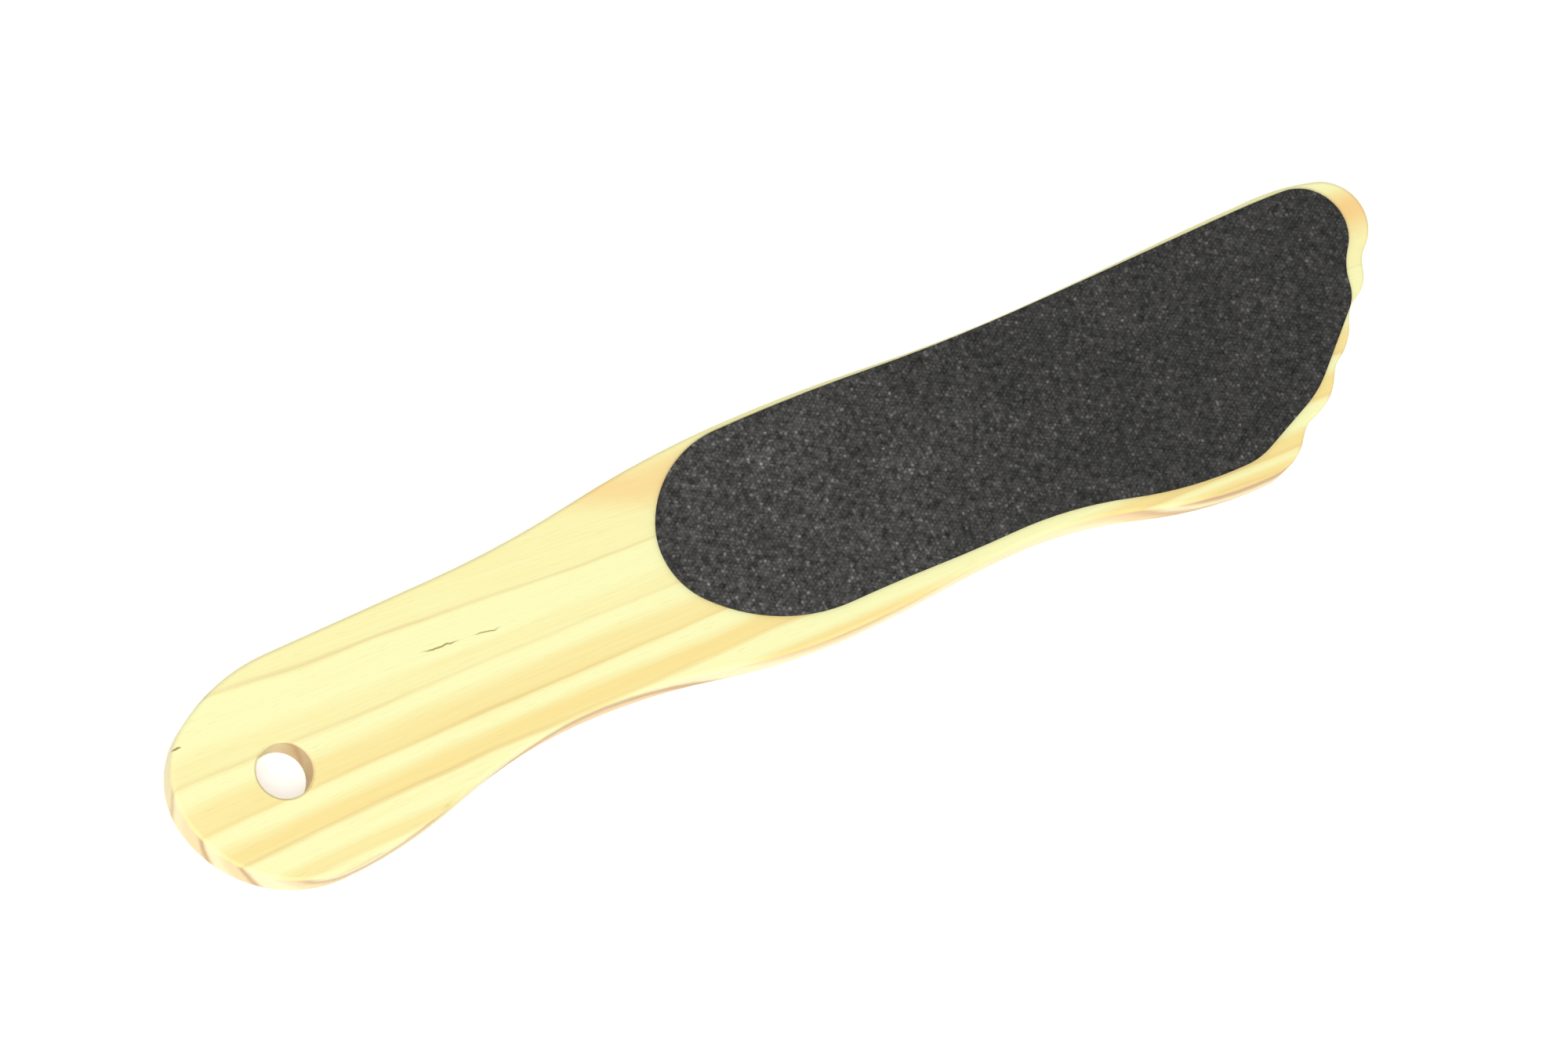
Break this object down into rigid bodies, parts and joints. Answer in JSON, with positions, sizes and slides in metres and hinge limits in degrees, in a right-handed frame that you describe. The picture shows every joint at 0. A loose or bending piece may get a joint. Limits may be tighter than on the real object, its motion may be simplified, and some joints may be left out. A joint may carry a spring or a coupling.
{
  "type": "foot file",
  "caption": "Flat wooden paddle shaped like a foot, with a handle and hanging hole, and a coarse and a fine abrasive sheet bonded to its faces for smoothing hard skin.",
  "frame": {"origin": "under the middle of the length and width, on the plane that the fine face rests on", "axes": "+X from the butt of the handle to the toes, +Y towards the big-toe side, +Z out of the coarse face"},
  "size_m": [0.25, 0.05, 0.0084],
  "materials": {
    "pale_wood": "smooth sanded pine",
    "adhesive": "thin dry film",
    "backing": "matt waterproof paper",
    "coarse_grit": "coarse dark grains in resin",
    "fine_grit": "fine dark grains in resin"
  },
  "bodies": {
    "root": {"wooden_paddle": "pale_wood", "coarse_adhesive_film": "adhesive", "coarse_backing_sheet": "backing", "coarse_grit_coat": "coarse_grit", "fine_adhesive_film": "adhesive", "fine_backing_sheet": "backing", "fine_grit_coat": "fine_grit"}
  },
  "joints": []
}
